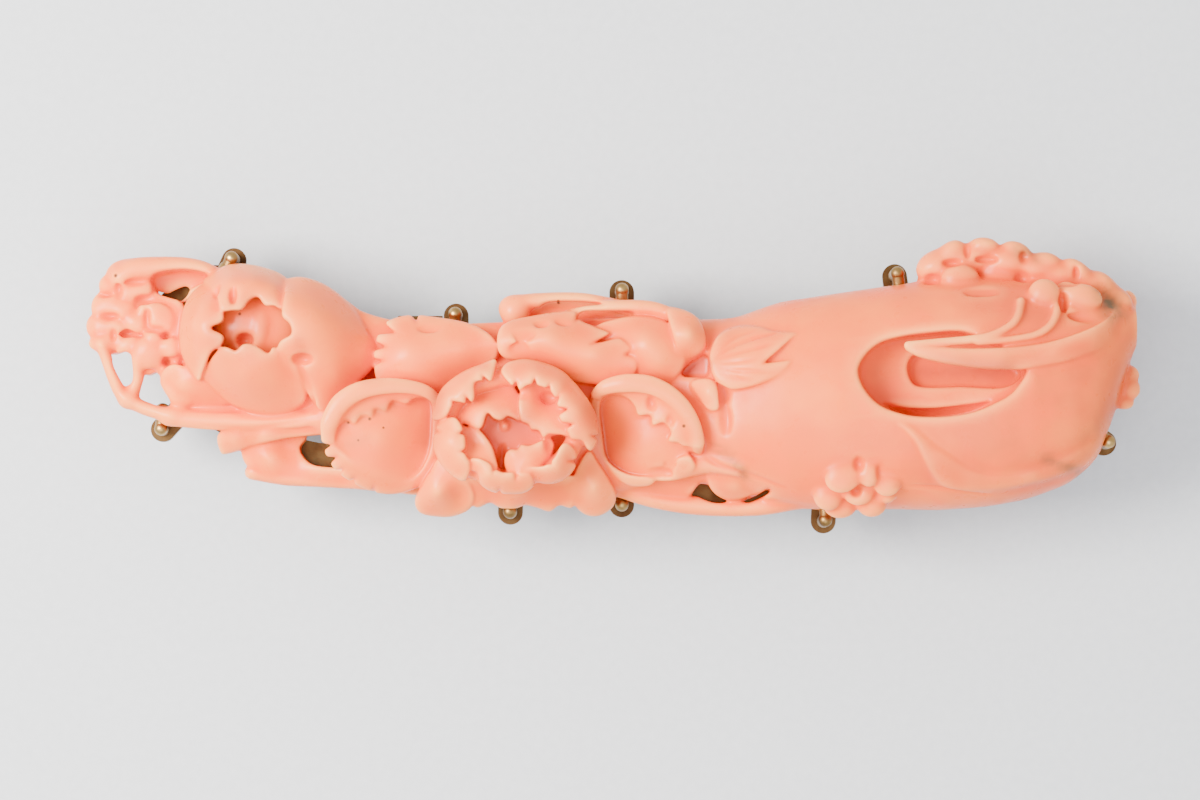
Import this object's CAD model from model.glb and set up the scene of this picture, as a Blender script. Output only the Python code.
import math
import bpy
import numpy as np
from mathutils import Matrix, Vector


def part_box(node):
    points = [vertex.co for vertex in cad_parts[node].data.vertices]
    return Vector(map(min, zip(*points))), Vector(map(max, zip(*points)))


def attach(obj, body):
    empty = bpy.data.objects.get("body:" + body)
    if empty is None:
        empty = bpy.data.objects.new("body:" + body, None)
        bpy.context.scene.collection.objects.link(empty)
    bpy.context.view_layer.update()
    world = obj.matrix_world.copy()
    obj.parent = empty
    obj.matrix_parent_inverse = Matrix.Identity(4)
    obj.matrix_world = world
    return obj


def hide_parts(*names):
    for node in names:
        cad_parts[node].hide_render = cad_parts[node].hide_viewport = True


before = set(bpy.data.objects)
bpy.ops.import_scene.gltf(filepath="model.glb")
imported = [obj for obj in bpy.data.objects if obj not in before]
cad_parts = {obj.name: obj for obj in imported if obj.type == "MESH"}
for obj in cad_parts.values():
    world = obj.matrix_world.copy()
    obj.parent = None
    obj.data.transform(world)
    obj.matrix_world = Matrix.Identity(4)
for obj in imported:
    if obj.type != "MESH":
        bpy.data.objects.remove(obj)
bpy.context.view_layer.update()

import openvdb
from mathutils import Vector

# An obidome: a carved pink coral branch on a gilt metal back. Tables are in millimetres, from the middle of
# the piece: X runs along the branch to the pitted end, Y across it, Z up from the coral's flat back.
MM = 0.001
MIDDLE_Y = 0.11
BLOCK_LOW = (-42.75, -11.9, -0.6)
BLOCK_HIGH = (42.75, 12.1, 12.7)
VOXEL = 0.11
FAR = 1.2
SPARE = 3 * VOXEL
TINY = 1e-9
MOST_TRIANGLES = 190000
# Curve steps to a span of a tube's route and of an outline
TUBE_STEPS = 6
RIM_STEPS = 4
# Petals and leaves: room kept over and under them, the steepest slope that counts, the rounding of notches
SHELL_ROOM = 2.5
SHELL_UNDER = 1.0
STEEPEST = 3.0
NOTCH_BLEND = 0.15
# Pockets: their open top, room kept under their floor, and the floor of one that goes right through
OPEN_TOP = 30.0
POCKET_UNDER = 1.5
THROUGH = -3.0
# Grooves: curve steps to a span, passes that even out their height, and the rounding of their edges
GROOVE_STEPS = 5
GROOVE_PASSES = 3
GROOVE_BLEND = 0.15


def smooth_min(a, b, blend):
    """The lower of two distances, with the corner between them filled over the blend's width."""
    if blend <= 0:
        return np.minimum(a, b)
    h = np.maximum(blend - np.abs(a - b), 0.0) / blend
    return np.minimum(a, b) - h * h * blend * 0.25


def smooth_max(a, b, blend):
    """The higher of two distances, with the corner between them rounded."""
    return -smooth_min(-a, -b, blend)


def soften(line):
    """Averages each value along the first axis with its neighbours."""
    line[1:-1] = 0.25 * line[:-2] + 0.5 * line[1:-1] + 0.25 * line[2:]


def spline(points, steps, closed=False):
    """A smooth curve through the points: Catmull-Rom, with the given steps to a span."""
    p = np.array(points, float)
    if closed:
        p = np.vstack([p[-1:], p, p[:2]])
    else:
        p = np.vstack([2 * p[0] - p[1], p, 2 * p[-1] - p[-2]])
    t = (np.arange(steps) / steps)[:, None]
    out = []
    for a, b, c, d in zip(p, p[1:], p[2:], p[3:]):
        out.append(0.5 * (2 * b + t * (c - a) + t * t * (2 * a - 5 * b + 4 * c - d)
                          + t ** 3 * (3 * b - a - 3 * c + d)))
    return np.vstack(out if closed else out + [p[-2:-1]])


class Stone:
    """A block of stone as a grid of signed distances in millimetres, below zero inside."""

    def __init__(self, low, high):
        self.low = np.array(low, float)
        self.count = np.ceil((np.array(high) - self.low) / VOXEL).astype(int) + 1
        self.field = np.full(self.count, FAR, np.float32)

    def window(self, low, high):
        """The slices of the grid between two corners, and the grid's X, Y and Z there."""
        first = np.clip(((np.array(low) - self.low) / VOXEL).astype(int), 0, self.count - 2)
        last = np.clip(((np.array(high) - self.low) / VOXEL).astype(int) + 2, first + 2, self.count)
        axes = [self.low[i] + VOXEL * np.arange(first[i], last[i]) for i in range(3)]
        x = axes[0].astype(np.float32)[:, None, None]
        y = axes[1].astype(np.float32)[None, :, None]
        z = axes[2].astype(np.float32)[None, None, :]
        return tuple(slice(a, b) for a, b in zip(first, last)), x, y, z

    def add(self, low, high, shape, blend=0.0):
        """Adds a shape, given as a function of X, Y and Z, inside a box."""
        part, x, y, z = self.window(low, high)
        self.field[part] = smooth_min(self.field[part], shape(x, y, z), blend)

    def cut(self, low, high, shape, blend=0.0):
        """Cuts a shape away inside a box."""
        part, x, y, z = self.window(low, high)
        self.field[part] = smooth_max(self.field[part], -shape(x, y, z), blend)

    def height(self, points, default):
        """The height of the stone's upper skin above each x, y, or the default where there is no stone."""
        out = []
        places = np.round((np.array(points) - self.low[:2]) / VOXEL).astype(int)
        for i, j in np.clip(places, 0, self.count[:2] - 1):
            column = self.field[i, j]
            inside = np.nonzero(column < 0)[0]
            if len(inside) == 0:
                out.append(default)
                continue
            top = inside[-1]
            step = column[top] / (column[top] - column[min(top + 1, len(column) - 1)] - TINY)
            out.append(self.low[2] + VOXEL * (top + min(max(step, 0.0), 1.0)))
        return np.array(out)

    def polish(self):
        """Rounds every edge a little, as polishing does."""
        for axis in range(3):
            soften(np.moveaxis(self.field, axis, 0))


def tube_shape(points, radii, flat):
    """Distance to a round tube along points; flat stretches it in height."""
    def shape(x, y, z):
        best = None
        for a, b, ra, rb in zip(points, points[1:], radii, radii[1:]):
            d = b - a
            rise = d[2] / flat
            length = max(float(d[0] ** 2 + d[1] ** 2 + rise ** 2), TINY)
            zz = (z - a[2]) / flat
            t = np.clip(((x - a[0]) * d[0] + (y - a[1]) * d[1] + zz * rise) / length, 0, 1)
            gap = np.sqrt((x - a[0] - t * d[0]) ** 2 + (y - a[1] - t * d[1]) ** 2
                          + (zz - t * rise) ** 2) - (ra + t * (rb - ra))
            best = gap if best is None else np.minimum(best, gap)
        return best * min(flat, 1.0)
    return shape


def lay(stone, path, radii, flat, blend, cut):
    """Adds or cuts a tube along a path of x, y, z; radii run from its start to its end."""
    radii = np.interp(np.linspace(0, 1, len(path)), np.linspace(0, 1, len(radii)), radii)
    margin = max(radii) * max(flat, 1.0) + blend + SPARE
    act = stone.cut if cut else stone.add
    act(path.min(0) - margin, path.max(0) + margin, tube_shape(path, radii, flat), blend)


def tube(stone, points, radii, flat=1.0, blend=0.25, cut=False):
    """Adds or cuts a tube through points x, y, z."""
    lay(stone, spline(points, TUBE_STEPS), radii, flat, blend, cut)


def groove(stone, points, radii, lift):
    """Cuts a groove along points x, y that follows the skin, its middle at a lift above it."""
    path = spline(points, GROOVE_STEPS)
    z = stone.height(path, BELLY)
    for _ in range(GROOVE_PASSES):
        soften(z)
    lay(stone, np.column_stack([path, z + lift]), radii, 1.0, GROOVE_BLEND, cut=True)


def blob(stone, centre, size, turn=0.0, tilt=(0.0, 0.0), blend=0.2, cut=False):
    """Adds or cuts an ellipsoid; tilt leans its middle plane along X and Y."""
    c, s = math.cos(math.radians(turn)), math.sin(math.radians(turn))

    def shape(x, y, z):
        dx, dy = x - centre[0], y - centre[1]
        u, v = (c * dx + s * dy) / size[0], (-s * dx + c * dy) / size[1]
        w = (z - centre[2] - tilt[0] * dx - tilt[1] * dy) / size[2]
        near = np.sqrt(u * u + v * v + w * w)
        steep = np.sqrt((u / size[0]) ** 2 + (v / size[1]) ** 2 + (w / size[2]) ** 2) + 1e-4
        return near * (near - 1.0) / steep
    wide = max(size[:2])
    tall = size[2] + abs(tilt[0]) * size[0] + abs(tilt[1]) * size[1]
    far = np.array([wide, wide, tall]) + blend + SPARE
    act = stone.cut if cut else stone.add
    act(np.array(centre) - far, np.array(centre) + far, shape, blend)


def surface(points, stiff=0.02):
    """A smooth surface through points x, y, z (a thin-plate spline), as a function of X and Y."""
    p = np.array(points, float)
    n = len(p)

    def kernel(r2):
        return r2 * np.log(r2 + TINY)
    a = np.zeros((n + 3, n + 3))
    a[:n, :n] = kernel(((p[:, None, :2] - p[None, :, :2]) ** 2).sum(2)) + stiff * np.eye(n)
    a[:n, n:] = np.column_stack([np.ones(n), p[:, :2]])
    a[n:, :n] = a[:n, n:].T
    weights = np.linalg.solve(a, np.append(p[:, 2], np.zeros(3)))

    def height(x, y):
        total = weights[n] + weights[n + 1] * x + weights[n + 2] * y
        for (px, py, _), w in zip(p, weights):
            total = total + w * kernel((x - px) ** 2 + (y - py) ** 2)
        return total
    return height


def outline_distance(line):
    """Distance from a closed line, below zero inside it, as a function of X and Y."""
    def distance(x, y):
        shape = np.broadcast(x, y).shape
        best = np.full(shape, np.inf)
        sign = np.ones(shape)
        for (ax, ay), (bx, by) in zip(line, np.roll(line, -1, 0)):
            dx, dy = bx - ax, by - ay
            t = np.clip(((x - ax) * dx + (y - ay) * dy) / (dx * dx + dy * dy + TINY), 0, 1)
            best = np.minimum(best, (x - ax - t * dx) ** 2 + (y - ay - t * dy) ** 2)
            if ay != by:
                cross = ((ay > y) != (by > y)) & (x < dx * (y - ay) / dy + ax)
                sign = np.where(cross, -sign, sign)
        return np.sqrt(best) * sign
    return distance


def wedge_distance(tip, heading, half):
    """Distance from an endless wedge that opens from its tip along the heading."""
    c, s = math.cos(math.radians(heading)), math.sin(math.radians(heading))
    ch, sh = math.cos(math.radians(half)), math.sin(math.radians(half))

    def distance(x, y):
        u = (x - tip[0]) * c + (y - tip[1]) * s
        v = np.abs(-(x - tip[0]) * s + (y - tip[1]) * c)
        return np.where(u * ch + v * sh < 0, np.sqrt(u * u + v * v), v * ch - u * sh)
    return distance


def shell(stone, rim, inner=(), notches=(), thick=1.3, edge=0.3, blend=0.12, skin=None):
    """Adds a petal or leaf: its rim as x, y, z, points inside it, notches as x, y, heading and half angle.

    With a skin, the heights count from it."""
    rim = np.array(rim, float)
    line = spline(rim[:, :2], RIM_STEPS, closed=True)
    side = outline_distance(line)
    top = surface(np.vstack([rim] + ([np.array(inner, float)] if len(inner) else [])))
    gaps = [wedge_distance(n[:2], n[2], n[3]) for n in notches]
    base = 0.0 if skin is None else skin(line[:, 0], line[:, 1])
    margin = edge + blend + SPARE
    low = np.append(line.min(0) - margin, rim[:, 2].min() + np.min(base) - thick - SHELL_UNDER - margin)
    high = np.append(line.max(0) + margin, np.max(rim[:, 2]) + np.max(base) + SHELL_ROOM)

    def shape(x, y, z):
        x2, y2 = x[:, :, 0], y[:, :, 0]
        upper = top(x2, y2) + (0.0 if skin is None else skin(x2, y2))
        across = side(x2, y2)
        for gap in gaps:
            across = smooth_max(across, -gap(x2, y2), NOTCH_BLEND)
        gx, gy = np.gradient(upper, VOXEL)
        slope = np.minimum(np.sqrt(1.0 + gx * gx + gy * gy), STEEPEST)[:, :, None].astype(np.float32)
        upper = upper[:, :, None].astype(np.float32)
        level = smooth_max((z - upper) / slope, (upper - thick - z) / slope, edge)
        return smooth_max(level, across[:, :, None].astype(np.float32), edge)
    stone.add(low, high, shape, blend)


def pocket(stone, rim, floor, blend=0.3):
    """Cuts a pocket with an outline x, y down to a floor, given as points x, y, z."""
    line = spline(rim, RIM_STEPS, closed=True)
    side = outline_distance(line)
    bottom = surface(floor)
    margin = blend + SPARE
    low = np.append(line.min(0) - margin, min(p[2] for p in floor) - POCKET_UNDER)
    high = np.append(line.max(0) + margin, OPEN_TOP)

    def shape(x, y, z):
        level = bottom(x[:, :, 0], y[:, :, 0])[:, :, None] - z
        return smooth_max(level, side(x[:, :, 0], y[:, :, 0])[:, :, None], blend)
    stone.cut(low, high, shape, blend)


# The plain branch: x, y of its middle, half width, height of its crown, height of its underside
STATIONS = np.array([
    [-34.6, 3.2, 1.2, 4.2, 2.2],
    [-33, 3.2, 3.6, 5, 1],
    [-29.8, 3.2, 4.9, 5.4, 0.2],
    [-25.8, 3, 5, 5.6, 0],
    [-22.6, 2.4, 4.6, 5.6, 0],
    [-19.4, 1.2, 4.4, 5.4, 0],
    [-17, 0, 5, 5.4, 0],
    [-13.8, -1.2, 6, 5.6, 0],
    [-9, -1.8, 6.8, 6, 0],
    [-4.2, -1.9, 7, 6.4, 0],
    [0.6, -1.6, 7, 6.6, 0],
    [3.8, -1.4, 6.8, 7, 0],
    [7, -1.4, 6.6, 7.8, 0],
    [9.8, -1.6, 6.9, 8.8, 0],
    [13.4, -1.5, 8.1, 9.8, 0],
    [17.4, -1.5, 8.7, 10.6, 0],
    [22.2, -1.05, 8.95, 11, 0],
    [26.2, -0.8, 9.3, 11.1, 0],
    [30.2, -0.5, 9.3, 11, 0],
    [33.4, -0.3, 8.9, 10.6, 0],
    [36.6, 0.1, 8.1, 9.9, 0.3],
    [38.8, 0.8, 7, 9, 1],
    [40.2, 2.2, 5, 7.9, 1.8],
    [41.2, 3.6, 3, 7, 2.6],
    [42, 4.8, 1.2, 6, 3.4],
])
# The branch is widest at its belly, and rounder above it than below. Its table is smoothed along X
BELLY = 4.0
SECTION = 2.3
UNDER_SECTION = 3.2
STATION_STEPS = 600
SMOOTH_STEPS = 12
# The ribbon's own skin: a wider branch, cut off short of its side
SHOULDER_WIDTH = 1.25
SHOULDER_REACH = 0.93


def stations(x):
    """The branch's middle, half width, crown and underside at each x."""
    fine = np.linspace(STATIONS[0, 0], STATIONS[-1, 0], STATION_STEPS)
    window = np.hanning(2 * SMOOTH_STEPS - 1)
    out = []
    for column in range(1, 5):
        line = np.interp(fine, STATIONS[:, 0], STATIONS[:, column])
        pad = np.concatenate([np.full(SMOOTH_STEPS, line[0]), line, np.full(SMOOTH_STEPS, line[-1])])
        line = np.convolve(pad, window / window.sum(), "same")[SMOOTH_STEPS:-SMOOTH_STEPS]
        out.append(np.interp(x, fine, line))
    return out


def dome(x, y, widen, reach):
    """The height of the branch over x, y, its section widened and cut off at a share of its half width."""
    middle, half, crown, _ = stations(x)
    across = np.minimum(np.abs(y - middle) / (half * widen), reach)
    return BELLY + (crown - BELLY) * (1.0 - across ** SECTION) ** (1.0 / SECTION)


def skin(x, y):
    """The height of the plain branch over x, y."""
    return dome(x, y, 1.0, 1.0)


def skin_at(x, y):
    """The height of the plain branch at one place."""
    return float(skin(np.array(x), np.array(y)))


def bridged(x, y):
    """The height that the ribbon lies on: a shoulder that eases down at the body's right end."""
    shoulder = np.maximum(dome(x, y, SHOULDER_WIDTH, SHOULDER_REACH), 0.0)
    return np.minimum(surface(RIBBON_DROP)(x, y), 0.0) + shoulder


def branch(stone):
    """The plain branch, its section a rounded box."""
    x0, x1 = STATIONS[0, 0], STATIONS[-1, 0]

    def shape(x, y, z):
        middle, half, crown, under = [v.astype(np.float32)[:, None, None] for v in stations(x[:, 0, 0])]
        reach = np.where(z > BELLY, crown - BELLY, BELLY - under)
        power = np.where(z > BELLY, SECTION, UNDER_SECTION)
        across, tall = np.abs((y - middle) / half), np.abs((z - BELLY) / reach)
        inside = ((across ** power + tall ** power) ** (1.0 / power) - 1.0) * np.minimum(half, reach)
        return np.maximum(inside, np.maximum(x0 - x, x - x1))
    stone.add(BLOCK_LOW, BLOCK_HIGH, shape)


# Petals and leaves. Each has a rim of x, y, z, inner points x, y, z, and notches x, y, heading, half angle
PEONY_LEFT = [
    dict(rim=[(-34.7, 3.4, 5.2), (-34.6, 5.2, 5.2), (-34, 6.9, 5.2), (-32.9, 8, 5.2), (-32, 7.6, 6.8),
        (-31.2, 6.2, 8.6), (-30.9, 5.5, 9.3), (-31, 4.8, 9.3), (-31.9, 4.3, 9.3), (-30.9, 3.7, 9.4),
        (-31.1, 2.9, 9.2), (-31.9, 2.4, 8.8), (-32.6, 1, 7.4), (-33, 0.2, 6.4), (-33.7, 0.9, 5.8),
        (-34.4, 2, 5.4)],
        inner=[(-33.4, 4.6, 8.4), (-32.6, 6.2, 8.2), (-33.4, 2.6, 7.6), (-32.2, 3.6, 9.2)]),
    dict(rim=[(-32.8, 8.2, 5.4), (-32, 9, 5), (-30.9, 9.6, 4.8), (-29.4, 9.7, 4.8), (-27.8, 9.4, 4.8),
        (-26.4, 8.8, 5), (-25.9, 8.1, 5.8), (-26, 6.9, 8), (-26.2, 5.8, 9), (-26.9, 6.1, 9.3),
        (-27.6, 6.1, 9.2), (-28.2, 6.8, 8.9), (-28.9, 6.5, 9.1), (-29.4, 5.8, 9.4), (-30.2, 5.7, 9.4),
        (-31.1, 5.7, 9.4), (-31.4, 6.6, 8.9), (-31.9, 7.3, 7.6)],
        inner=[(-28.6, 8.2, 8.2), (-30.6, 8.2, 7.9), (-27, 7.8, 7.9)]),
    dict(rim=[(-26.2, 8.3, 6), (-24.9, 8.6, 5.6), (-23.2, 8.1, 5.2), (-21.6, 7, 5.2), (-20.3, 5.5, 5.2),
        (-19.4, 4.1, 5.4), (-18.8, 2.9, 5.4), (-19.1, 1.4, 5.2), (-20.4, 0, 5.2), (-21.8, -1.4, 5.4),
        (-22.7, -2.1, 5.6), (-23.4, -2.1, 5.9), (-24.1, -1.2, 6.8), (-24.5, -0.2, 7.2), (-25.4, 0.6, 7.8),
        (-26, 1.4, 8.4), (-26.6, 2.6, 9.1), (-26.3, 3.3, 9.5), (-25.5, 3.8, 9.7), (-25.6, 4.6, 9.8),
        (-26.2, 5.2, 9.7), (-26.2, 6.2, 9.4), (-26.1, 7.3, 8.2)],
        inner=[(-23.6, 5.6, 9), (-22.6, 3, 8.7), (-23.6, 0.4, 7.6), (-21.4, 4.8, 7.4), (-22, 0.6, 7.3)]),
    dict(rim=[(-32.7, 0.4, 6), (-32.4, 1.2, 6.9), (-31.8, 2.1, 8.4), (-31, 2.8, 9.2), (-30.4, 2.7, 9.5),
        (-29.9, 2.5, 9.5), (-29.3, 3, 9.7), (-28.6, 3, 9.6), (-28, 2.7, 9.5), (-27.3, 2.3, 9.3),
        (-26.9, 2.8, 9.2), (-25.9, 2, 8.6), (-25, 0.8, 7.8), (-24.4, -0.8, 6.6), (-24.9, -1.8, 5.4),
        (-26.4, -2.5, 4.8), (-28.4, -2.4, 4.8), (-30.2, -1.8, 4.9), (-31.6, -0.8, 5.3)],
        inner=[(-29.4, 0.6, 8.7), (-27.2, 0.2, 8.2), (-31.2, 0.7, 7.6), (-26, -0.6, 7)]),
]

PEONY_MIDDLE = [
    dict(rim=[(-9.2, 1.75, 10.5), (-10.4, 1.4, 10.5), (-12, 0.7, 10.5), (-13.3, -0.3, 10.5),
        (-13.9, -1.3, 10.6), (-14.3, -2.8, 10.5), (-13.9, -3.1, 10.9), (-13.1, -2.8, 11.4),
        (-12.6, -1.9, 11.8), (-11.9, -1.7, 11.9), (-11.3, -2, 11.8), (-10.9, -1.3, 11.9),
        (-10.9, -0.2, 11.8), (-10.3, 0, 11.7), (-9.8, -0.5, 11.6), (-9.4, 0.5, 11.4)],
        inner=[(-11.8, -0.4, 11.8), (-13, -1.5, 11.6), (-10.4, 0.8, 11.4)],
        notches=[(-12.75, -1.5, -40, 22), (-11.6, -1.1, -70, 18), (-10.3, 0.5, -60, 20),
        (-12.3, 1, 120, 24)]),
    dict(rim=[(-8.8, 0.9, 11), (-8.3, 1.5, 10.6), (-7, 1.8, 10.4), (-5.4, 1.5, 10.4), (-4, 0.9, 10.4),
        (-3.1, 0, 10.4), (-2.6, -1.2, 10.8), (-3.4, -1.9, 11.4), (-4.2, -1.9, 11.7), (-4.7, -1, 11.9),
        (-5.4, -0.5, 12), (-6.6, -0.3, 12), (-7.4, -0.8, 11.9), (-8, -0.3, 11.8), (-8.6, 0.4, 11.5)],
        inner=[(-6.2, 0.6, 11.8), (-4.2, -0.2, 11.6)],
        notches=[(-7.6, 0.1, -95, 20), (-6.1, 0.3, -95, 18), (-4.9, -0.2, -110, 20), (-3.9, -1, -130, 20)]),
    dict(rim=[(-3.3, 0.1, 10.5), (-2.3, -0.9, 10.5), (-1.5, -2.1, 10.4), (-1.1, -3.4, 10.4),
        (-1.1, -4.5, 10.4), (-1.6, -5.4, 10.2), (-2, -5.3, 10.5), (-2.4, -4.7, 11), (-3.2, -4.6, 11.2),
        (-3.5, -4, 11.5), (-4, -3.2, 11.9), (-4.4, -2.2, 12), (-4.1, -1.2, 11.9)],
        inner=[(-2.7, -2.4, 11.8), (-2.1, -4.2, 11.2)],
        notches=[(-3.4, -2.2, 190, 22), (-3, -3.4, 190, 20), (-1.7, -4.3, -10, 18)]),
    dict(rim=[(-13.3, -3, 11), (-12.4, -2.9, 11.6), (-11.8, -3.8, 11.9), (-11.6, -4.8, 12),
        (-11.6, -5.8, 12), (-11.2, -6.5, 11.7), (-11.3, -7.3, 11.2), (-11.8, -7.9, 10.6),
        (-12.8, -7.4, 10.4), (-13.7, -6.4, 10.4), (-14.2, -5.1, 10.4), (-14.1, -4, 10.5),
        (-13.8, -3.4, 10.7)],
        inner=[(-13, -4.8, 11.8), (-12.2, -6.6, 11.5)],
        notches=[(-12.2, -4.2, 15, 22), (-12.1, -5.6, 5, 18), (-13.6, -4, 170, 20)]),
    dict(rim=[(-11.3, -6.2, 11.4), (-10.7, -7.2, 11.2), (-10.5, -8.1, 10.5), (-9.6, -8.7, 10.1),
        (-8.4, -8.9, 10), (-7, -8.8, 10), (-6.2, -8.2, 10.4), (-6.4, -7.4, 11.2), (-7.6, -7.2, 11.5),
        (-8.8, -7.2, 11.6), (-9.7, -6.5, 11.8), (-10.6, -6.1, 11.8)],
        inner=[(-8.6, -8, 11.2), (-9.9, -7.4, 11.7)],
        notches=[(-9.4, -7.3, 80, 20), (-7.6, -7.8, 85, 20), (-8.9, -8.4, -95, 18)]),
    dict(rim=[(-3.6, -4.9, 11.6), (-2.9, -5.5, 10.9), (-2.9, -6.7, 10.4), (-3.7, -7.7, 10.1),
        (-4.9, -8.1, 10), (-6.1, -7.9, 10.2), (-7, -7.3, 10.8), (-6.6, -6.8, 11.4), (-5.3, -6.7, 11.8),
        (-4.5, -6, 12), (-4.1, -5.2, 11.9)],
        inner=[(-4.3, -7, 11.4)],
        notches=[(-4.7, -6.7, 130, 22), (-3.5, -6.3, 0, 16)]),
]

PEONY_INNER = [
    dict(rim=[(-12.2, -2.4, 9.6), (-11.6, -1.2, 9.5), (-10.4, 0, 9.3), (-9.2, 0.9, 9.6), (-8.4, 0.4, 9.4),
        (-7.5, -0.8, 9.6), (-7.3, -2, 10.2), (-7.3, -3.1, 10.5), (-7.8, -2.9, 10.7), (-8.3, -2.75, 10.8),
        (-8.8, -3.1, 10.9), (-9.4, -2.9, 10.9), (-9.9, -2.5, 10.9), (-10.3, -3.6, 10.8),
        (-10.8, -3.7, 10.7), (-11.5, -3.4, 10.3), (-12.1, -3.2, 10)],
        inner=[(-9.4, -1.2, 10), (-9.2, 0, 9.4), (-11, -2.2, 10.4)]),
    dict(rim=[(-7.3, -0.9, 11), (-6.7, -0.2, 10.8), (-5.6, 0, 10.4), (-4.2, -0.8, 10.4), (-3.8, -2.2, 10.7),
        (-3.4, -3.4, 10.9), (-3.2, -4.4, 10.9), (-4.2, -4.2, 11), (-5, -4.4, 11.1), (-5.4, -4.6, 11),
        (-5.8, -3.9, 11.1), (-6.4, -3.8, 11), (-6.6, -3.4, 11.1), (-7.2, -3.1, 11.2), (-7.4, -2.1, 11.3)],
        inner=[(-6.4, -1.9, 10.9), (-5.1, -3.3, 11.1), (-5, -1.4, 9.7), (-5.6, -1, 9.9)]),
    dict(rim=[(-12.2, -3.6, 10.2), (-11.4, -3.6, 10.3), (-10.6, -3.8, 10.4), (-10, -4.4, 10.6),
        (-9.5, -5.2, 10.8), (-9.2, -6.2, 11), (-9.1, -6.9, 11.2), (-9.9, -7.3, 11.3), (-11.2, -7, 11.2),
        (-12, -6.2, 11.2), (-12.4, -5, 11)],
        inner=[(-10.8, -5.2, 10.4), (-11.4, -4.5, 10.2), (-10.4, -6.3, 11.2)]),
    dict(rim=[(-8.5, -5.9, 10.3), (-8.1, -5.4, 10.6), (-7.5, -5.4, 10.7), (-7.2, -5, 10.8),
        (-6.6, -5.1, 10.9), (-5.8, -4.8, 11), (-5, -4.4, 11), (-4.6, -5, 10.8), (-4.9, -5.9, 10.4),
        (-5.5, -6.6, 10.8), (-6.6, -7.4, 11.1), (-7.9, -7.4, 11), (-8.5, -6.8, 10.5)],
        inner=[(-6.6, -6, 11.1), (-7.7, -6.1, 10.8)]),
]

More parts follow.
